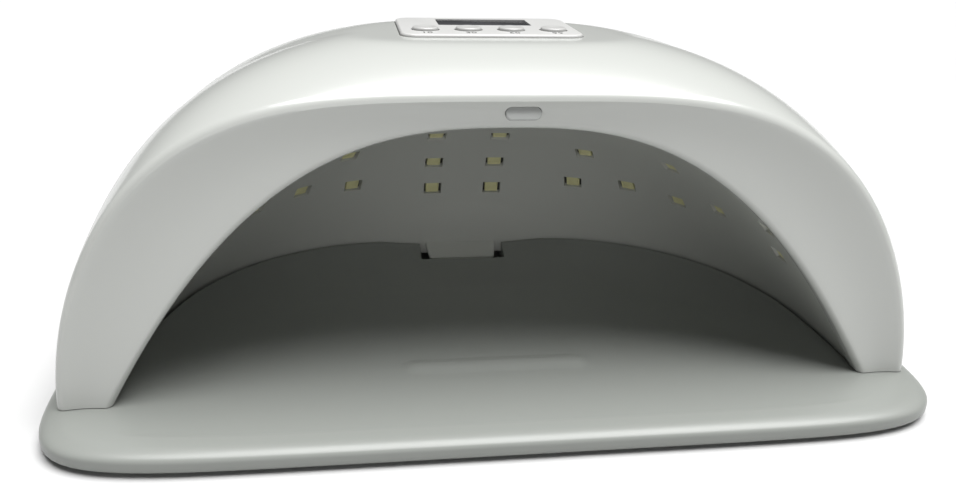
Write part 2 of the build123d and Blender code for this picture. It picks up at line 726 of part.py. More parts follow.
with BuildPart() as driver_inductor:
    with BuildSketch(Plane.XY.offset(BOARD_TOP - BOARD_T - 4.2)):
        with Locations((12.0, -2.0)):
            RectangleRounded(9.0, 9.0, 1.8)
    extrude(amount=4.2)
driver_inductor.part.label = "driver_inductor"
export_step(driver_inductor.part, "parts/driver_inductor.step")

with BuildPart() as driver_capacitors:
    with BuildSketch(Plane.XY.offset(BOARD_TOP - BOARD_T - 5.4)):
        with Locations((-16.0, -8.0), (-16.0, 0.0)):
            Circle(3.0)
    extrude(amount=5.4)
driver_capacitors.part.label = "driver_capacitors"
export_step(driver_capacitors.part, "parts/driver_capacitors.step")

with BuildPart() as driver_transistors:
    with BuildSketch(Plane.XY.offset(BOARD_TOP - BOARD_T - 1.6)):
        with Locations((-6.0, -20.0), (2.0, -20.0), (10.0, -20.0)):
            Rectangle(4.0, 5.0)
    extrude(amount=1.6)
driver_transistors.part.label = "driver_transistors"
export_step(driver_transistors.part, "parts/driver_transistors.step")

# ================================================================ front sensor
with BuildPart() as sensor_window:
    with BuildSketch(Plane(origin=(SENSOR_X, -58.8, SENSOR_Z), x_dir=(1, 0, 0), z_dir=(0, -1, 0))):
        SlotOverall(SENSOR_W - 0.2, SENSOR_H - 0.2)
    extrude(amount=-1.8)
sensor_window.part.label = "sensor_window"
export_step(sensor_window.part, "parts/sensor_window.step")

with BuildPart() as sensor_board:
    with BuildSketch(Plane(origin=(SENSOR_X, -52.0, 79.0), x_dir=(1, 0, 0), z_dir=(0, -1, 0))):
        Rectangle(16.0, 6.4)
    extrude(amount=-1.0)
sensor_board.part.label = "sensor_board"
export_step(sensor_board.part, "parts/sensor_board.step")

with BuildPart() as sensor_diodes:
    for side in (-2.2, 2.2):
        with BuildSketch(Plane(origin=(SENSOR_X + side, -52.0, SENSOR_Z), x_dir=(1, 0, 0), z_dir=(0, -1, 0))):
            Circle(1.35)
        extrude(amount=4.4)
sensor_diodes.part.label = "sensor_diodes"
export_step(sensor_diodes.part, "parts/sensor_diodes.step")

# ================================================================ power socket
REAR = Plane(origin=(0, JACK_FACE_Y, JACK_Z), x_dir=(-1, 0, 0), z_dir=(0, 1, 0))
with BuildPart() as dc_jack:
    with BuildSketch(REAR.offset(-16.0)):
        Rectangle(9.0, 10.6)
    extrude(amount=13.2)
    with BuildSketch(REAR.offset(-3.0)):
        Circle(4.0)
    extrude(amount=3.0)
    with BuildSketch(REAR.offset(-10.0)):
        Circle(3.1)
    extrude(amount=12.0, mode=Mode.SUBTRACT)
dc_jack.part.label = "dc_jack"
export_step(dc_jack.part, "parts/dc_jack.step")

with BuildPart() as dc_jack_pin:
    with BuildSketch(REAR.offset(-10.0)):
        Circle(1.0)
    extrude(amount=9.2)
    fillet(dc_jack_pin.faces().sort_by(Axis.Y)[-1].edges(), radius=0.4)
dc_jack_pin.part.label = "dc_jack_pin"
export_step(dc_jack_pin.part, "parts/dc_jack_pin.step")

with BuildPart() as jack_board:
    with BuildSketch(Plane.XY.offset(REFL_BASE_Z + FLANGE_T)):
        with Locations((0, 71.5)):
            Rectangle(22.0, 17.0)
    extrude(amount=JACK_Z - 5.3 - REFL_BASE_Z - FLANGE_T)
jack_board.part.label = "jack_board"
export_step(jack_board.part, "parts/jack_board.step")


def wire(name, points, start_dir, end_dir):
    """One insulated wire swept along a smooth path."""
    with BuildPart() as lead:
        with BuildLine() as path:
            Spline(*points, tangents=(start_dir, end_dir))
        with BuildSketch(Plane(origin=points[0], z_dir=start_dir)):
            Circle(0.8)
        sweep()
    lead.part.label = name
    export_step(lead.part, "parts/" + name + ".step")


board_under = BOARD_TOP - BOARD_T
jack_top = JACK_Z - 5.3
up, down = (0, 0, 1), (0, 0, -1)
for name, side in (("supply_wire_red", -1), ("supply_wire_black", 1)):
    route = [(8, 68, jack_top), (9, 60, 40), (18, 30, 70), (20.5, 0.5, board_under - 0.05)]
    wire(name, [(side * x, y, z) for x, y, z in route], up, up)
for name, side in (("led_wire_left", -1), ("led_wire_right", 1)):
    route = [(25.5, -6, board_under), (36, -3, 70.8), (46, -2, 63.4), (52.6, -2, 55.0)]
    wire(name, [(side * x, y, z) for x, y, z in route], down, down)
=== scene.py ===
"""UV LED nail lamp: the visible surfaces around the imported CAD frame."""

import json
from math import cos, pi, radians, sin, sqrt

import bmesh
import bpy
from mathutils import Matrix, Vector


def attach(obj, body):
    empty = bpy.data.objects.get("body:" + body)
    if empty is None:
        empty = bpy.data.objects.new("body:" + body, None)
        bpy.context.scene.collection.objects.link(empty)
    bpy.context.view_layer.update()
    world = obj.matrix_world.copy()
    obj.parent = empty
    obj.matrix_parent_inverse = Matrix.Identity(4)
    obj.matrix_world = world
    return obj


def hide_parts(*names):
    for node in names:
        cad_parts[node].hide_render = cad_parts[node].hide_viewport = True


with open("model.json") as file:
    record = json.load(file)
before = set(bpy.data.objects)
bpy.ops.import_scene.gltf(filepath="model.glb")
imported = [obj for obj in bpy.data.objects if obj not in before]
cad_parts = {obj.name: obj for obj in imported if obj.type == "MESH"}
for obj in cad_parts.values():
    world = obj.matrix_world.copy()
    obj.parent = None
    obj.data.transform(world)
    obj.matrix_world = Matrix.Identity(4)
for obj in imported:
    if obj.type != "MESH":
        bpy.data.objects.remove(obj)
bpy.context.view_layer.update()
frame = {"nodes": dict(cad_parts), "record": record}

MM = 0.001

# ---------------------------------------------------------------- sizes of the part, in mm
TRAY_HALF_W, TRAY_FRONT, TRAY_BACK = 115.0, 71.0, 107.0
TRAY_Z0, LAND_Z, COVER_T, TRAY_MID_Y = 1.0, 6.0, 1.2, -18.0
FLOOR_BACK_Z, FLOOR_TILT, RIM_RISE = 4.4, 0.014, 6.0
CROWN_Y, HOOD_HALF_W, HOOD_H, HOOD_FOOT_Z = -21.0, 111.5, 86.4, 6.2
FRONT_REACH, BACK_REACH, SHELL_T = 79.0, 106.0, 2.4
PLAN_POWER, CROWN_POWER = 2.4, 2.17
FACE_Y, FACE_LEAN, FACE_T, LIP_SET, LIP_LEAN = -65.6, 0.08, 5.5, 0.3, 0.118
PANEL_FLAT_Z = 90.4
ARCH_HALF_W, ARCH_H = 97.6, 66.6
REFL_HALF_W, REFL_H, REFL_Y, REFL_DEPTH = 98.5, 67.1, -64.0, 101.0
REFL_BASE_Z, REFL_T, FLANGE_T = 6.05, 1.6, 3.0
PANEL_W, PANEL_D, PANEL_Y, PANEL_Z, PANEL_TOP = 48.6, 33.6, -13.0, 89.0, 91.2
BOARD_TOP = 80.2
BUTTON_NAMES = ["10s", "30s", "60s", "99s"]
BUTTON_PITCH, BUTTON_Y, BUTTON_D = 11.6, -20.5, 7.0
DISPLAY_Y = -6.0
JACK_Z = 16.2
SENSOR_X, SENSOR_Z, SENSOR_W, SENSOR_H = 3.0, 76.9, 9.0, 3.4
CENTRE_WINDOWS = [(x, z) for z in (30.4, 40.9, 52.2) for x in (-10.2, 10.2)]
FLOW_CONTRAST = 0.2        # share of the darker tone in the moulding mottle
FRONT_SCOOP = 17.0         # the scoop runs out this far in front of the reflector
SIDE_WINDOWS = [(37.9, 46.7), (37.2, 33.9), (53.2, 35.4), (58.1, 49.0), (66.3, 34.0), (72.6, 37.0),
                (72.7, 42.9), (80.9, 32.6)]
WINDOW_W, WINDOW_H, LED_W, LED_H = 6.0, 4.4, 4.4, 4.0
MAGNETS = [(-102.8, -22.0), (102.8, -22.0), (-45.0, 62.0), (45.0, 62.0)]


# ---------------------------------------------------------------- mesh helpers
def finish_mesh(bm, name, body, nodes=(), sharp=32.0):
    """Turn a bmesh in mm into an object in metres that rides on a body."""
    bmesh.ops.scale(bm, vec=(MM, MM, MM), verts=bm.verts)
    bmesh.ops.recalc_face_normals(bm, faces=bm.faces)
    mesh = bpy.data.meshes.new(name)
    bm.to_mesh(mesh)
    bm.free()
    obj = bpy.data.objects.new(name, mesh)
    bpy.context.collection.objects.link(obj)
    smooth(mesh, sharp)
    if body:
        dress(obj, body, nodes)
    return obj


def dress(obj, body, nodes=()):
    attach(obj, body)
    if nodes:
        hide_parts(*nodes)
    return obj


def smooth(mesh, sharp):
    for poly in mesh.polygons:
        poly.use_smooth = True
    mesh.set_sharp_from_angle(angle=radians(sharp))


def add_row(bm, points):
    return [bm.verts.new(p) for p in points]


def bridge(bm, rows, ring=False, index=0):
    """Quads between neighbouring rows of vertices."""
    faces = []
    for a, b in zip(rows, rows[1:]):
        count = len(a)
        last = count if ring else count - 1
        for i in range(last):
            j = (i + 1) % count
            face = bm.faces.new((a[i], a[j], b[j], b[i]))
            face.material_index = index
            faces.append(face)
    return faces


def cut(obj, cutters, solver="EXACT"):
    """Subtract the cutter objects from obj and remove them."""
    for cutter in cutters:
        mod = obj.modifiers.new("cut", "BOOLEAN")
        mod.operation = "DIFFERENCE"
        mod.solver = solver
        mod.object = cutter
    graph = bpy.context.evaluated_depsgraph_get()
    mesh = bpy.data.meshes.new_from_object(obj.evaluated_get(graph))
    obj.modifiers.clear()
    old = obj.data
    obj.data = mesh
    bpy.data.meshes.remove(old)
    for cutter in cutters:
        bpy.data.objects.remove(cutter, do_unlink=True)
    return obj


def rounded_rect(w, d, r, steps=8):
    points = []
    for k, (sx, sy) in enumerate(((1, 1), (-1, 1), (-1, -1), (1, -1))):
        for i in range(steps + 1):
            t = 0.5 * pi * (k + i / steps)
            points.append((sx * (0.5 * w - r) + r * cos(t), sy * (0.5 * d - r) + r * sin(t)))
    return points


def prism_bm(outline, z0, z1, top=0.0, steps=4, inset=None):
    """Closed prism of an outline with a rounded top edge."""
    bm = bmesh.new()
    inset = inset or (lambda p, e: p)
    levels = [(0.0, z0), (0.0, z1 - top)]
    if top:
        levels += [(top * (1 - cos(0.5 * pi * i / steps)), z1 - top + top * sin(0.5 * pi * i / steps))
                   for i in range(1, steps + 1)]
    rows = [add_row(bm, [(*inset(p, e), z) for p in outline]) for e, z in levels]
    bridge(bm, rows, ring=True)
    bm.faces.new(rows[0])
    bm.faces.new(rows[-1])
    return bm


def cutter_object(bm, matrix=None):
    bmesh.ops.scale(bm, vec=(MM, MM, MM), verts=bm.verts)
    bmesh.ops.recalc_face_normals(bm, faces=bm.faces)
    mesh = bpy.data.meshes.new("cutter")
    bm.to_mesh(mesh)
    bm.free()
    obj = bpy.data.objects.new("cutter", mesh)
    bpy.context.collection.objects.link(obj)
    if matrix is not None:
        obj.matrix_world = matrix
    bpy.context.view_layer.update()
    return obj


def circle(r, count=48, x=0.0, y=0.0):
    return [(x + r * cos(2 * pi * i / count), y + r * sin(2 * pi * i / count)) for i in range(count)]


def shifted(points, x, y):
    return [(px + x, py + y) for px, py in points]


# ---------------------------------------------------------------- formulas of the surfaces
def unit_radius(p, q, u, v):
    """Radius at which (r u)^p + (r v)^q = 1."""
    low, high = 0.4, 1.6
    for _ in range(34):
        r = 0.5 * (low + high)
        if (r * u) ** p + (r * v) ** q < 1:
            low = r
        else:
            high = r
    return low


def arc_point(w, h, p, q, phi):
    u, v = abs(cos(phi)), sin(phi)
    r = unit_radius(p, q, u, v)
    x = w * r * u
    return (x if phi <= 0.5 * pi else -x), h * r * v


def hood_size(y, inset):
    w, h, f = HOOD_HALF_W - inset, HOOD_H - inset, 0.0
    if y <= CROWN_Y:
        f = min(1.0, (CROWN_Y - y) / (CROWN_Y - FACE_Y))
        w -= 0.8 * f * f
        h *= sqrt(1 - ((CROWN_Y - y) / FRONT_REACH) ** 2)
    else:
        u = (y - CROWN_Y) / (BACK_REACH - inset)
        w *= (1 - u ** PLAN_POWER) ** (1 / PLAN_POWER)
        h *= (1 - u ** CROWN_POWER) ** (1 / CROWN_POWER)
    return w, h, 2.76 + 1.26 * f, 1.86


def refl_size(y, grow):
    u = min(max((y - REFL_Y) / (REFL_DEPTH + grow), 0.0), 0.985)
    return (REFL_HALF_W + grow) * (1 - u ** 2.8) ** (1 / 2.8), (REFL_H + grow) * (1 - u ** 2.5) ** 0.4


def refl_depth_at(x, z):
    low, high = REFL_Y, REFL_Y + REFL_DEPTH * 0.985
    for _ in range(40):
        mid = 0.5 * (low + high)
        a, h = refl_size(mid, 0.0)
        inside = abs(x) < a and REFL_BASE_Z + h * (1 - (abs(x) / a) ** 2.65) > z
        low, high = (mid, high) if inside else (low, mid)
    return 0.5 * (low + high)


def window_matrix(x, z):
    """Frame on the reflector wall: local Z points into the cavity, X is level."""
    e = 0.4
    origin = Vector((x, refl_depth_at(x, z), z))
    dx = (refl_depth_at(x + e, z) - refl_depth_at(x - e, z)) / (2 * e)
    dz = (refl_depth_at(x, z + e) - refl_depth_at(x, z - e)) / (2 * e)
    normal = Vector((dx, -1.0, dz)).normalized()
    side = Vector((0, 0, 1)).cross(normal).normalized()
    up = normal.cross(side)
    m = Matrix((side, up, normal)).transposed().to_4x4()
    m.translation = origin * MM
    return m


def face_y(z, set_back):
    return FACE_Y + set_back + FACE_LEAN * (z - HOOD_FOOT_Z)


def lip_back(z):
    """Set-back of the inner lip behind the face plane; it grows with the height."""
    return LIP_SET + (LIP_LEAN - FACE_LEAN) * (z - HOOD_FOOT_Z)


# ---------------------------------------------------------------- hood
ARC_STEPS = 168
PHIS = [pi * i / ARC_STEPS for i in range(ARC_STEPS + 1)]


def hood_row(share, inset, set_back, y_end):
    """One row of the skin: share 0 is the front face, 1 the back end."""
    row = []
    for phi in PHIS:
        y = FACE_Y
        for _ in range(5):
            w, h, p, q = hood_size(y, inset)
            x, z = arc_point(w, h, p, q, phi)
            front = face_y(z + HOOD_FOOT_Z, set_back)
            y = front + share * (y_end - front)
        row.append((x, y, z + HOOD_FOOT_Z))
    return row


def skin_shares(count):
    """Rows closer together at the front edge and at the turned-down back."""
    shares = []
    for i in range(count + 1):
        k = i / count
        shares.append(0.35 * k + 0.65 * (1 - (1 - k) ** 2.2))
    return shares


def flatten_crown(point):
    x, y, z = point
    d = PANEL_FLAT_Z - z
    return x, y, PANEL_FLAT_Z - 0.5 * (d + sqrt(d * d + 0.09))


def lip_point(phi, outset, behind_lip=0.0):
    x, z = arc_point(ARCH_HALF_W + outset, ARCH_H + outset, 2.65, 1.0, phi)
    z += HOOD_FOOT_Z
    return x, face_y(z, lip_back(z) + behind_lip), z


def band_back_point(phi):
    """Point on the rear edge of the front band, around the arch."""
    x, _, z = lip_point(phi, 0.0)
    return x, face_y(z, FACE_T), z


EDGE_R = 1.7
LIP_R = 1.8
bm = bmesh.new()
back_out = CROWN_Y + BACK_REACH * 0.988
back_in = CROWN_Y + (BACK_REACH - SHELL_T) * 0.988
rows = []
for share in reversed(skin_shares(96)):
    rows.append([flatten_crown(p) for p in hood_row(share, 0.0, EDGE_R, back_out)])
for i in range(1, 7):
    a = 0.5 * pi * i / 6
    inner = hood_row(0.0, EDGE_R * (1 - cos(a)), EDGE_R * (1 - sin(a)), back_out)
    rows.append(inner)
rim_row = rows[-1]
CHEEK = 14
for i in range(1, CHEEK + 1):
    v = i / CHEEK
    row = []
    for phi, (x0, y0, z0) in zip(PHIS, rim_row):
        x1, _, z1 = lip_point(phi, LIP_R)
        x, z = x0 + v * (x1 - x0), z0 + v * (z1 - z0)
        width = sqrt((x1 - x0) ** 2 + (z1 - z0) ** 2)
        dish = 0.045 * min(width, 30.0) * sin(pi * v)
        row.append((x, face_y(z, lip_back(z) * v + dish), z))
    rows.append(row)
for i in range(1, 7):
    a = 0.5 * pi * i / 6
    rows.append([lip_point(phi, LIP_R * (1 - sin(a)), LIP_R * (1 - cos(a))) for phi in PHIS])
rows.append([band_back_point(phi) for phi in PHIS])
for share in skin_shares(96):
    rows.append(hood_row(share, SHELL_T, FACE_T, back_in))
made = [add_row(bm, row) for row in rows]
bridge(bm, made)
bm.faces.new(made[0])
bm.faces.new(made[-1])
foot = [row[0] for row in made] + [row[-1] for row in reversed(made)]
bm.faces.new(foot)
hood = finish_mesh(bm, "hood_shell", None)
cutters = [
    cutter_object(prism_bm(shifted(rounded_rect(PANEL_W + 0.5, PANEL_D + 0.5, 4.5), 0, PANEL_Y), 78.0, 99.0)),
]
jack = prism_bm(circle(4.2), -6.0, 6.0)
bmesh.ops.rotate(jack, verts=jack.verts, matrix=Matrix.Rotation(0.5 * pi, 3, "X"))
bmesh.ops.translate(jack, verts=jack.verts, vec=(0, 85.0, JACK_Z))
cutters.append(cutter_object(jack))
slot_bm = prism_bm(rounded_rect(SENSOR_W, SENSOR_H, 0.5 * SENSOR_H - 0.01, 10), -8.0, 8.0)
bmesh.ops.rotate(slot_bm, verts=slot_bm.verts, matrix=Matrix.Rotation(0.5 * pi, 3, "X"))
bmesh.ops.translate(slot_bm, verts=slot_bm.verts, vec=(SENSOR_X, -60.0, SENSOR_Z))
cutters.append(cutter_object(slot_bm))
cut(hood, cutters)
smooth(hood.data, 30)
dress(hood, "lamp", ["outer_shell"])

# ---------------------------------------------------------------- reflector
bm = bmesh.new()
R_STEPS = 132
R_PHIS = [pi * i / R_STEPS for i in range(R_STEPS + 1)]


def refl_row(k, grow):
    """One row of the reflector: k 0 is the front edge, 1 the back end."""
    share = 0.45 * k + 0.55 * (1 - (1 - k) ** 2)
    y_end = REFL_Y + (REFL_DEPTH + grow) * 0.985
    row = []
    for phi in R_PHIS:
        y = REFL_Y
        for _ in range(4):
            a, h = refl_size(y, grow)
            x, z = arc_point(a, h, 2.65, 1.0, phi)
            front = face_y(z + REFL_BASE_Z, FACE_T + 0.25)
            y = front + share * (y_end - front)
        row.append((x, y, z + REFL_BASE_Z))
    return row


R_ROWS = 76
rows = [refl_row(1 - i / R_ROWS, REFL_T) for i in range(R_ROWS + 1)]
rows += [refl_row(i / R_ROWS, 0.0) for i in range(R_ROWS + 1)]
made = [add_row(bm, row) for row in rows]
bridge(bm, made)
bm.faces.new(made[0])
bm.faces.new(made[-1])
bm.faces.new([row[0] for row in made] + [row[-1] for row in reversed(made)])
reflector = finish_mesh(bm, "reflector", None)
places = {
    "back": [window_matrix(x, z) for x, z in CENTRE_WINDOWS],
    "right": [window_matrix(x, z) for x, z in SIDE_WINDOWS],
    "left": [window_matrix(-x, z) for x, z in SIDE_WINDOWS],
}
bm = bmesh.new()
for matrix in places["back"] + places["right"] + places["left"]:
    corners = rounded_rect(WINDOW_W, WINDOW_H, 0.25, 3)
    low = add_row(bm, [matrix @ (Vector((x, y, -4.0)) * MM) / MM for x, y in corners])
    high = add_row(bm, [matrix @ (Vector((x, y, 4.0)) * MM) / MM for x, y in corners])
    bridge(bm, [low, high], ring=True)
    bm.faces.new(low)
    bm.faces.new(high)
cut(reflector, [cutter_object(bm)])
smooth(reflector.data, 30)
dress(reflector, "lamp", ["inner_reflector"])


def superellipse_row(half_w, front, back, n_front, n_back, cx, cy, count):
    """Closed outline around (cx, cy), evenly turned, with a front and a back power."""
    row = []
    for i in range(count):
        t = 2 * pi * i / count
        u, v = cos(t), sin(t)
        b, n = (back, n_back) if v > 0 else (front, n_front)
        r = ((abs(u) / half_w) ** n + (abs(v) / b) ** n) ** (-1 / n)
        row.append((cx + r * u, cy + r * v))
    return row


# base flange of the reflector, seen from below when the lamp is lifted
bm = bmesh.new()
COUNT = 200
edge = superellipse_row(HOOD_HALF_W - SHELL_T - 0.6, 38.0, BACK_REACH - SHELL_T - 1.8, 14.0, PLAN_POWER, 0,
                          CROWN_Y, COUNT)
hole = []
for i in range(COUNT):
    t = 2 * pi * i / COUNT
    u, v = cos(t), sin(t)
    low, high = 1.0, 140.0
    for _ in range(30):
        r = 0.5 * (low + high)
        x, y = r * u, CROWN_Y + r * v
        a = refl_size(y, REFL_T - 0.2)[0]
        inside = abs(x) < a and y < REFL_Y + (REFL_DEPTH + REFL_T) * 0.985 and y > -59.0
        low, high = (r, high) if inside else (low, r)
    hole.append((low * u, CROWN_Y + low * v))
z0, z1 = REFL_BASE_Z, REFL_BASE_Z + FLANGE_T
kept = [i for i in range(COUNT) if hole[i][1] > -58.6]
start = next(i for i in kept if (i - 1) % COUNT not in kept)
order = [(start + i) % COUNT for i in range(len(kept))]
loops = []
for pts, z in ((hole, z0), (edge, z0), (edge, z1), (hole, z1)):
    loops.append(add_row(bm, [(pts[i][0], pts[i][1], z) for i in order]))
bridge(bm, loops + [loops[0]])
bm.faces.new([loop[0] for loop in loops])
bm.faces.new([loop[-1] for loop in loops])
flange = finish_mesh(bm, "reflector_flange", "lamp", [])

# tongue that hangs in the notch of the tray
bm = bmesh.new()
tongue = [(-12.7, 0.4), (12.7, 0.4), (11.1, -8.2), (-11.1, -8.2)]
tm = Matrix(((1, 0, 0), (0, 0.832, -0.555), (0, 0.555, 0.832)))
for side in (0.0, -1.5):
    add_row(bm, [tm @ Vector((x, y, side)) + Vector((0, 36.3, 10.5)) for x, y in tongue])
bm.verts.ensure_lookup_table()
front_loop, back_loop = bm.verts[:4], bm.verts[4:]
bridge(bm, [front_loop, back_loop], ring=True)
bm.faces.new(front_loop)
bm.faces.new(back_loop)
bmesh.ops.bevel(bm, geom=bm.edges[:], offset=0.3, segments=3, affect="EDGES")
tongue_obj = finish_mesh(bm, "reflector_tongue", "lamp", [])

# ---------------------------------------------------------------- LEDs behind the windows
for zone, matrices in places.items():
    bm = bmesh.new()
    for matrix in matrices:
        levels = [(1.0, -2.4), (1.0, -0.75), (0.96, -0.6), (0.86, -0.6), (0.80, -0.72)]
        loops = []
        for k, z in levels:
            pts = rounded_rect(LED_W * k, LED_H * k, 0.3, 3)
            loops.append(add_row(bm, [matrix @ (Vector((x, y, z)) * MM) / MM for x, y in pts]))
        bridge(bm, loops, ring=True)
        lens = []
        for k, z in ((0.80, -0.76), (0.62, -0.6), (0.40, -0.5), (0.2, -0.46)):
            pts = rounded_rect(LED_W * k, LED_H * k, 0.5 * k, 3)
            lens.append(add_row(bm, [matrix @ (Vector((x, y, z)) * MM) / MM for x, y in pts]))
        bridge(bm, [loops[4], lens[0]], ring=True, index=1)
        bridge(bm, lens, ring=True, index=1)
        bm.faces.new(lens[-1]).material_index = 1
        bm.faces.new(loops[0])
    finish_mesh(bm, "uv_led_group_" + zone, "lamp", ["uv_leds_" + zone])

# ---------------------------------------------------------------- base tray
T_COUNT = 288
T_CENTRE = -30.0


def tray_height(x, y):
    floor = FLOOR_BACK_Z - FLOOR_TILT * min(y, 0.0)
    u = max(y - REFL_Y, 0.0) / REFL_DEPTH
    v = abs(x) / REFL_HALF_W
    s = (v ** 2.8 + u ** 2.8) ** (1 / 2.8) / (1 - 0.028 * v * v)
    crease = 0.70 + 0.19 * v ** 3
    k = min(max((s - crease) / (1 - crease), 0.0), 1.0)
    return max(floor + (rim_height(x, u) - floor) * k ** 1.7, floor)


def rim_height(x, u):
    dip = 1.7 * (1 + cos(pi * min(abs(x) / 48.0, 1.0))) * 0.5
    return LAND_Z + RIM_RISE * max(min(u, 1.0) - 0.04, 0.0) ** 0.75 - dip * max(u - 0.2, 0.0) / 0.8


def finger_ridge(x, y):
    dx = max(abs(x) - 22.0, 0.0)
    d = sqrt(dx * dx + (y + 49.0) ** 2)
    k = max(0.0, 1 - (d / 5.0) ** 2)
    return 0.9 * k * k


def outline_at(inset, t):
    u, v = cos(t), sin(t)
    low, high = 1.0, 180.0
    for _ in range(34):
        r = 0.5 * (low + high)
        x, y = abs(r * u), T_CENTRE + r * v
        if y > TRAY_MID_Y:
            s = (x / (TRAY_HALF_W - inset)) ** 2.8 + ((y - TRAY_MID_Y) / (TRAY_BACK - inset)) ** 2.8
        else:
            s = (x / (TRAY_HALF_W - inset)) ** 8 + ((TRAY_MID_Y - y) / (TRAY_FRONT - inset)) ** 8
        low, high = (r, high) if s < 1 else (low, r)
    return low * u, T_CENTRE + low * v


def scoop_at(share, t):
    """Contour of the scoop: the reflector's foot at the back, a soft lip at the front."""
    u, v = cos(t), sin(t)
    low, high = 1.0, 180.0
    for _ in range(34):
        r = 0.5 * (low + high)
        x, y = abs(r * u), T_CENTRE + r * v
        if y > REFL_Y:
            a, h = refl_size(y, -0.9)
            rise = max(rim_height(x, (y - REFL_Y) / REFL_DEPTH) - REFL_BASE_Z, 0.0)
            wall = a * max(1 - rise / h, 0.0) ** (1 / 2.65)
            s = x / max(wall, 0.01) if y < REFL_Y + (REFL_DEPTH - 0.9) * 0.985 else 2.0
        else:
            s = (x / (REFL_HALF_W - 0.5)) ** 6 + ((REFL_Y - y) / FRONT_SCOOP) ** 6
        low, high = (r, high) if s < 1 else (low, r)
    return share * low * u, T_CENTRE + share * low * v


angles = [2 * pi * i / T_COUNT for i in range(T_COUNT)]
bm = bmesh.new()
rows = [[(*outline_at(4.0, t), TRAY_Z0 + COVER_T + 0.05) for t in angles],
        [(*outline_at(4.0, t), TRAY_Z0) for t in angles]]
BOTTOM_R, TOP_W, TOP_H = 1.4, 4.4, 2.2
for i in range(7):
    a = 0.5 * pi * i / 6
    rows.append([(*outline_at(BOTTOM_R * (1 - sin(a)), t), TRAY_Z0 + BOTTOM_R * (1 - cos(a))) for t in angles])
for i in range(11):
    a = 0.5 * pi * i / 10
    rows.append([(*outline_at(TOP_W * (1 - cos(a)), t), LAND_Z - TOP_H * (1 - sin(a))) for t in angles])
rows.append([(*outline_at(7.5, t), LAND_Z) for t in angles])
rim_out = [scoop_at(1.0, t) for t in angles]


def rim_z(x, y):
    return max(tray_height(x, y), LAND_Z - 0.02)


rows.append([(x * 1.004, T_CENTRE + (y - T_CENTRE) * 1.004, LAND_Z) for x, y in rim_out])
rows.append([(x * 1.002, T_CENTRE + (y - T_CENTRE) * 1.002, max(rim_z(x, y) - 0.25, LAND_Z)) for x, y in rim_out])
rows.append([(x * 0.999, T_CENTRE + (y - T_CENTRE) * 0.999, rim_z(x, y)) for x, y in rim_out])
FLOOR_ROWS = 84
for i in range(1, FLOOR_ROWS):
    share = 1 - i / FLOOR_ROWS
    row = []
    for t in angles:
        x, y = scoop_at(share, t)
        z = tray_height(x, y)
        if y < REFL_Y:
            blend = min(1.0, (REFL_Y - y) / FRONT_SCOOP)
            z = z + (LAND_Z - z) * blend ** 2
        row.append((x, y, z + finger_ridge(x, y)))
    rows.append(row)
made = [add_row(bm, row) for row in rows]
bridge(bm, made, ring=True)
bm.faces.new(made[0])
bm.faces.new(made[-1])
tray = finish_mesh(bm, "base_tray", None)
notch = prism_bm(rounded_rect(29.0, 15.6, 0.5, 3), 3.4, 14.0)
bmesh.ops.translate(notch, verts=notch.verts, vec=(0, 34.0, 0))
cutters = [cutter_object(notch)]
for x, y in MAGNETS:
    cutters.append(cutter_object(prism_bm(circle(4.15, 40, x, y), LAND_Z - 1.0, LAND_Z + 1)))
cut(tray, cutters)
smooth(tray.data, 30)
dress(tray, "tray", ["tray_top"])

# ---------------------------------------------------------------- control panel
def rounder(cx, cy, w, d, r):
    """Pulls an outline point inwards along its rounded-rectangle normal."""
    def pull(p, e):
        x, y = p[0] - cx, p[1] - cy
        kx, ky = max(min(x, 0.5 * w - r), r - 0.5 * w), max(min(y, 0.5 * d - r), r - 0.5 * d)
        n = Vector((x - kx, y - ky))
        n = n.normalized() if n.length > 1e-9 else Vector((0, 0))
        return p[0] - e * n.x, p[1] - e * n.y
    return pull


outline = shifted(rounded_rect(PANEL_W, PANEL_D, 4.2, 10), 0, PANEL_Y)
panel = finish_mesh(prism_bm(outline, PANEL_Z, PANEL_TOP, 0.7, 6, rounder(0, PANEL_Y, PANEL_W, PANEL_D, 4.2)),
                    "panel_plate", None)
button_xs = [BUTTON_PITCH * (i - 1.5) for i in range(4)]
cutters = [cutter_object(prism_bm(circle(3.85, 48, x, BUTTON_Y), 86.0, 96.0)) for x in button_xs]
cutters.append(cutter_object(prism_bm(shifted(rounded_rect(26.0, 12.0, 0.5, 4), 0, DISPLAY_Y), PANEL_TOP - 1.1, 96)))
cutters.append(cutter_object(prism_bm(shifted(rounded_rect(23.0, 10.6, 0.3, 4), 0, DISPLAY_Y), 86.0, 96.0)))
cut(panel, cutters)
smooth(panel.data, 30)
dress(panel, "lamp", ["control_panel"])

outline = shifted(rounded_rect(25.8, 11.8, 0.45, 4), 0, DISPLAY_Y)
display = finish_mesh(prism_bm(outline, PANEL_TOP - 1.1, PANEL_TOP - 0.05, 0.15, 3,
                               rounder(0, DISPLAY_Y, 25.8, 11.8, 0.45)),
                      "display_cover", "lamp", ["display_window"])


def lathe(bm, profile, x, y, count=48):
    """Turned shape around a vertical axis; the profile starts and ends on the axis."""
    first = bm.verts.new((x, y, profile[0][1]))
    last = bm.verts.new((x, y, profile[-1][1]))
    loops = [add_row(bm, [(px, py, z) for px, py in circle(r, count, x, y)]) for r, z in profile[1:-1]]
    bridge(bm, loops, ring=True)
    for i in range(count):
        j = (i + 1) % count
        bm.faces.new((first, loops[0][j], loops[0][i]))
        bm.faces.new((last, loops[-1][i], loops[-1][j]))


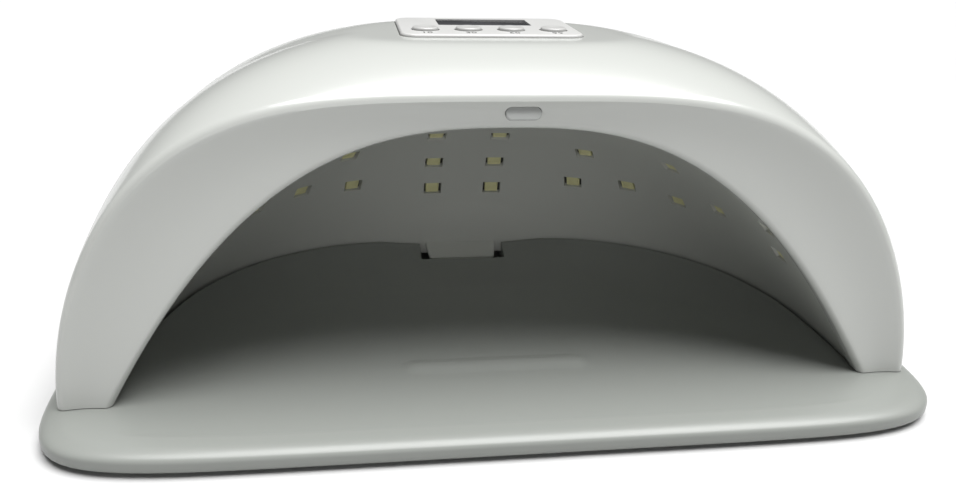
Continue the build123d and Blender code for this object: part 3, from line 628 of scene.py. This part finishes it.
for x, name in zip(button_xs, BUTTON_NAMES):
    top = PANEL_TOP + 0.8
    r = 0.5 * BUTTON_D
    b = BOARD_TOP
    profile = [(0, b + 4.4), (1.5, b + 4.4), (1.5, b + 7.4), (4.5, b + 7.4), (4.5, b + 8.4), (r, b + 8.4)]
    profile += [(r, top - 0.6)]
    profile += [(r - 0.6 * (1 - cos(a)), top - 0.6 + 0.6 * sin(a)) for a in (0.3, 0.6, 0.9, 1.2, 0.5 * pi)]
    profile += [(r - 1.0, top - 0.03), (r - 1.6, top - 0.14), (r - 2.4, top - 0.22), (0.4, top - 0.26),
                (0, top - 0.26)]
    bm = bmesh.new()
    lathe(bm, profile, x, BUTTON_Y)
    finish_mesh(bm, "key_cap_" + name, "key_" + name, ["button_" + name])

# ---------------------------------------------------------------- printed figures beside the keys
def label(text, x, y, z, size, body):
    curve = bpy.data.curves.new("figure", "FONT")
    curve.body = text
    curve.size = size * MM
    curve.align_x = "CENTER"
    curve.align_y = "CENTER"
    curve.extrude = 0.02 * MM
    curve.resolution_u = 4
    temp = bpy.data.objects.new("figure", curve)
    bpy.context.collection.objects.link(temp)
    graph = bpy.context.evaluated_depsgraph_get()
    mesh = bpy.data.meshes.new_from_object(temp.evaluated_get(graph))
    bpy.data.objects.remove(temp, do_unlink=True)
    obj = bpy.data.objects.new("figure_" + text, mesh)
    bpy.context.collection.objects.link(obj)
    obj.location = (x * MM, y * MM, z * MM)
    bpy.context.view_layer.update()
    dress(obj, body, [])
    return obj


figures = [label(name[:2], x, BUTTON_Y - 5.9, PANEL_TOP + 0.01, 3.1, "lamp")
           for x, name in zip(button_xs, BUTTON_NAMES)]

# ---------------------------------------------------------------- sensor window
outline = rounded_rect(SENSOR_W - 0.2, SENSOR_H - 0.2, 0.5 * SENSOR_H - 0.12, 12)
bm = prism_bm(outline, 0.0, 2.0, 0.35, 4, rounder(0, 0, SENSOR_W - 0.2, SENSOR_H - 0.2, 0.5 * SENSOR_H - 0.12))
bmesh.ops.rotate(bm, verts=bm.verts, matrix=Matrix.Rotation(0.5 * pi - 0.33, 3, "X"))
bmesh.ops.translate(bm, verts=bm.verts, vec=(SENSOR_X, face_y(SENSOR_Z, 3.1), SENSOR_Z - 0.5))
sensor = finish_mesh(bm, "sensor_lens", "lamp", ["sensor_window"])


# ---------------------------------------------------------------- materials
def principled(name):
    mat = bpy.data.materials.new(name)
    mat.use_nodes = True
    tree = mat.node_tree
    tree.nodes.clear()
    out = tree.nodes.new("ShaderNodeOutputMaterial")
    shader = tree.nodes.new("ShaderNodeBsdfPrincipled")
    tree.links.new(shader.outputs[0], out.inputs[0])
    return mat, tree, shader


def noise(tree, coords, scale, detail=3.0, rough=0.5):
    made = tree.nodes.new("ShaderNodeTexNoise")
    made.inputs["Scale"].default_value = scale
    made.inputs["Detail"].default_value = detail
    made.inputs["Roughness"].default_value = rough
    tree.links.new(coords.outputs["Object"], made.inputs["Vector"])
    return made


def ramp(tree, source, stops):
    made = tree.nodes.new("ShaderNodeValToRGB")
    element = made.color_ramp.elements
    for i, (place, colour) in enumerate(stops):
        item = element[i] if i < 2 else element.new(place)
        item.position = place
        item.color = (*colour, 1)
    tree.links.new(source.outputs[0], made.inputs[0])
    return made


def map_range(tree, source, low, high, lo_in=0.3, hi_in=0.7):
    made = tree.nodes.new("ShaderNodeMapRange")
    made.inputs["From Min"].default_value = lo_in
    made.inputs["From Max"].default_value = hi_in
    made.inputs["To Min"].default_value = low
    made.inputs["To Max"].default_value = high
    tree.links.new(source.outputs[0], made.inputs["Value"])
    return made


def bump(tree, shader, source, distance, strength=1.0, before=None):
    made = tree.nodes.new("ShaderNodeBump")
    made.inputs["Distance"].default_value = distance
    made.inputs["Strength"].default_value = strength
    tree.links.new(source.outputs[0], made.inputs["Height"])
    if before:
        tree.links.new(before.outputs[0], made.inputs["Normal"])
    tree.links.new(made.outputs[0], shader.inputs["Normal"])
    return made


def moulded(name, light, dark, rough, ripple=0.00002, grain=0.0, coat=0.0, ior=1.5):
    """Moulded plastic: faint flow mottling, soft waviness and fine grain."""
    mat, tree, shader = principled(name)
    coords = tree.nodes.new("ShaderNodeTexCoord")
    flow = noise(tree, coords, 14.0, 2.0, 0.45)
    dark = tuple((1 - FLOW_CONTRAST) * b + FLOW_CONTRAST * a for a, b in zip(dark, light))
    tint = ramp(tree, flow, [(0.25, dark), (0.75, light)])
    tree.links.new(tint.outputs[0], shader.inputs["Base Color"])
    smear = noise(tree, coords, 40.0, 1.0, 0.4)
    tree.links.new(map_range(tree, smear, rough * 0.97, rough * 1.05, 0.1, 0.9).outputs[0], shader.inputs["Roughness"])
    wave = noise(tree, coords, 60.0, 1.0, 0.4)
    first = bump(tree, shader, wave, ripple, 0.6)
    if grain:
        fine = noise(tree, coords, 3800.0, 2.0, 0.6)
        bump(tree, shader, fine, grain, 0.6, first)
    shader.inputs["IOR"].default_value = ior
    shader.inputs["Coat Weight"].default_value = coat
    shader.inputs["Coat Roughness"].default_value = 0.08
    return mat


def metal(name, light, dark, rough):
    mat, tree, shader = principled(name)
    coords = tree.nodes.new("ShaderNodeTexCoord")
    turned = noise(tree, coords, 900.0, 4.0, 0.6)
    tree.links.new(ramp(tree, turned, [(0.3, dark), (0.7, light)]).outputs[0], shader.inputs["Base Color"])
    tree.links.new(map_range(tree, turned, rough * 0.7, rough * 1.4).outputs[0], shader.inputs["Roughness"])
    bump(tree, shader, turned, 0.00001, 0.5)
    shader.inputs["Metallic"].default_value = 1.0
    return mat


def paint(obj, *mats):
    obj.data.materials.clear()
    for mat in mats:
        obj.data.materials.append(mat)


shell_white = moulded("shell_white", (0.45, 0.46, 0.44), (0.435, 0.445, 0.425), 0.24, 0.00003, 0.0, 0.25)
tray_white = moulded("tray_white", (0.23, 0.24, 0.225), (0.22, 0.23, 0.215), 0.34, 0.00003, 0.000004)
inner_white = moulded("reflector_white", (0.48, 0.49, 0.46), (0.46, 0.47, 0.44), 0.36, 0.00003, 0.000004)
panel_grey = moulded("panel_grey", (0.50, 0.50, 0.49), (0.46, 0.46, 0.45), 0.35, 0.00001, 0.000006)
cap_white = moulded("cap_white", (0.44, 0.44, 0.43), (0.38, 0.38, 0.37), 0.3, 0.00001, 0.000004)
smoke = moulded("display_smoke", (0.07, 0.07, 0.075), (0.05, 0.05, 0.055), 0.08, 0.000005, 0.0, 0.6)
tint = moulded("sensor_grey", (0.36, 0.37, 0.36), (0.32, 0.33, 0.32), 0.18, 0.000005, 0.0, 0.4)
black = moulded("ink_black", (0.03, 0.03, 0.03), (0.02, 0.02, 0.02), 0.5, 0.00001, 0.000006)
rubber = moulded("rubber_black", (0.05, 0.05, 0.05), (0.03, 0.03, 0.03), 0.75, 0.00002, 0.00002)
flex = moulded("board_white", (0.16, 0.16, 0.15), (0.12, 0.12, 0.11), 0.5, 0.00001, 0.000004)
green = moulded("board_green", (0.03, 0.16, 0.07), (0.02, 0.11, 0.05), 0.35, 0.00001, 0.000008, 0.3)
led_body = moulded("led_body", (0.66, 0.64, 0.36), (0.58, 0.56, 0.30), 0.4, 0.00001, 0.000006)
phosphor = moulded("led_phosphor", (0.86, 0.80, 0.20), (0.76, 0.70, 0.15), 0.25, 0.00001, 0.000008, 0.5)
nylon = moulded("nylon", (0.55, 0.54, 0.48), (0.48, 0.47, 0.42), 0.5, 0.00001, 0.000006)
red = moulded("wire_red", (0.5, 0.03, 0.02), (0.4, 0.02, 0.015), 0.45, 0.00001, 0.000008)
cream = moulded("wire_cream", (0.6, 0.6, 0.56), (0.5, 0.5, 0.46), 0.45, 0.00001, 0.000008)
zinc = metal("zinc_steel", (0.62, 0.62, 0.6), (0.5, 0.5, 0.49), 0.3)
nickel = metal("nickel", (0.7, 0.69, 0.66), (0.6, 0.59, 0.57), 0.16)
brass = metal("brass_pin", (0.75, 0.6, 0.3), (0.65, 0.5, 0.24), 0.22)
can = metal("aluminium_can", (0.66, 0.67, 0.68), (0.56, 0.57, 0.58), 0.26)

paint(hood, shell_white)
paint(reflector, inner_white)
paint(flange, inner_white)
paint(tongue_obj, inner_white)
paint(tray, tray_white)
paint(panel, panel_grey)
paint(display, smoke)
paint(sensor, tint)
for figure in figures:
    paint(figure, black)
for zone in places:
    paint(bpy.data.objects["uv_led_group_" + zone], led_body, phosphor)
for name in BUTTON_NAMES:
    paint(bpy.data.objects["key_cap_" + name], cap_white)

SLOT_MATERIALS = {
    "tray_abs": tray_white, "foot_rubber": rubber, "screw_steel": zinc, "strike_steel": zinc,
    "shell_abs": shell_white, "reflector_abs": inner_white, "led_flex": flex, "stud_nylon": nylon,
    "led_package": phosphor, "magnet_nickel": nickel, "panel_abs": panel_grey, "button_abs": cap_white,
    "switch_black": black, "capacitor_can": can, "smoked_window": smoke, "display_epoxy": black,
    "board_laminate": green, "sensor_tint": tint, "diode_epoxy": black, "jack_nylon": black,
    "pin_brass": brass, "wire_red": red, "wire_black": black, "wire_white": cream,
}
for part in frame["record"]["subparts"]:
    obj = frame["nodes"][part["node"]]
    for i in range(len(obj.material_slots)):
        obj.material_slots[i].material = SLOT_MATERIALS[part["material_slot"]]

# ---------------------------------------------------------------- floor, light, camera
floor_bm = bmesh.new()
bmesh.ops.create_grid(floor_bm, x_segments=8, y_segments=8, size=40000.0)
bmesh.ops.translate(floor_bm, verts=floor_bm.verts, vec=(0, 0, -0.05))
floor = finish_mesh(floor_bm, "floor", None)
floor_mat, tree, shader = principled("floor_pale")
coords = tree.nodes.new("ShaderNodeTexCoord")
tree.links.new(ramp(tree, noise(tree, coords, 3.0), [(0.3, (0.50, 0.50, 0.50)), (0.7, (0.52, 0.52, 0.52))]).outputs[0],
               shader.inputs["Base Color"])
shader.inputs["Roughness"].default_value = 0.8
paint(floor, floor_mat)


def softbox(name, place, target, size, power, colour=(1, 1, 1)):
    data = bpy.data.lights.new(name, "AREA")
    data.shape = "RECTANGLE"
    data.size, data.size_y = size
    data.energy = power
    data.color = colour
    obj = bpy.data.objects.new(name, data)
    bpy.context.collection.objects.link(obj)
    obj.location = place
    direction = Vector(target) - Vector(place)
    obj.rotation_euler = direction.to_track_quat("-Z", "Y").to_euler()
    return obj


sky = bpy.data.lights.new("overhead", "SUN")
sky.energy = 6.5
sky.angle = radians(55)
sky_obj = bpy.data.objects.new("overhead", sky)
bpy.context.collection.objects.link(sky_obj)
sky_obj.rotation_euler = Vector((-0.16, 0.04, -1.0)).to_track_quat("-Z", "Y").to_euler()
softbox("right_fill", (0.9, -0.25, 0.35), (0.02, -0.03, 0.05), (0.5, 0.5), 0.3)
softbox("front_fill", (-0.1, -0.9, 0.25), (0, 0, 0.03), (0.8, 0.4), 1.3)

world = bpy.data.worlds.new("studio")
bpy.context.scene.world = world
world.use_nodes = True
back = world.node_tree.nodes["Background"]
back.inputs[0].default_value = (0.95, 0.97, 1.0, 1)
back.inputs[1].default_value = 0.04

CAMERA = Vector((-39.3, -279.4, 126.9)) * MM
YAW, PITCH, ROLL = radians(8.60), radians(21.98), radians(-1.58)
forward = Vector((sin(YAW) * cos(PITCH), cos(YAW) * cos(PITCH), -sin(PITCH)))
right = Vector((cos(YAW), -sin(YAW), 0.0))
down = forward.cross(right)
right2 = cos(ROLL) * right + sin(ROLL) * down
down2 = -sin(ROLL) * right + cos(ROLL) * down
camera_data = bpy.data.cameras.new("camera")
camera_data.sensor_width = 36.0
camera_data.lens = 35.9
camera_data.shift_x = -0.0049
camera_data.shift_y = 0.0251
camera_data.clip_start = 0.01
camera_data.dof.use_dof = False
camera = bpy.data.objects.new("camera", camera_data)
bpy.context.collection.objects.link(camera)
axes = Matrix((right2, -down2, -forward)).transposed().to_4x4()
axes.translation = CAMERA
camera.matrix_world = axes
bpy.context.scene.camera = camera

scene = bpy.context.scene
scene.view_settings.view_transform = "Standard"
scene.view_settings.look = "None"
scene.view_settings.exposure = 0.0
scene.view_settings.gamma = 1.0

bpy.context.view_layer.update()
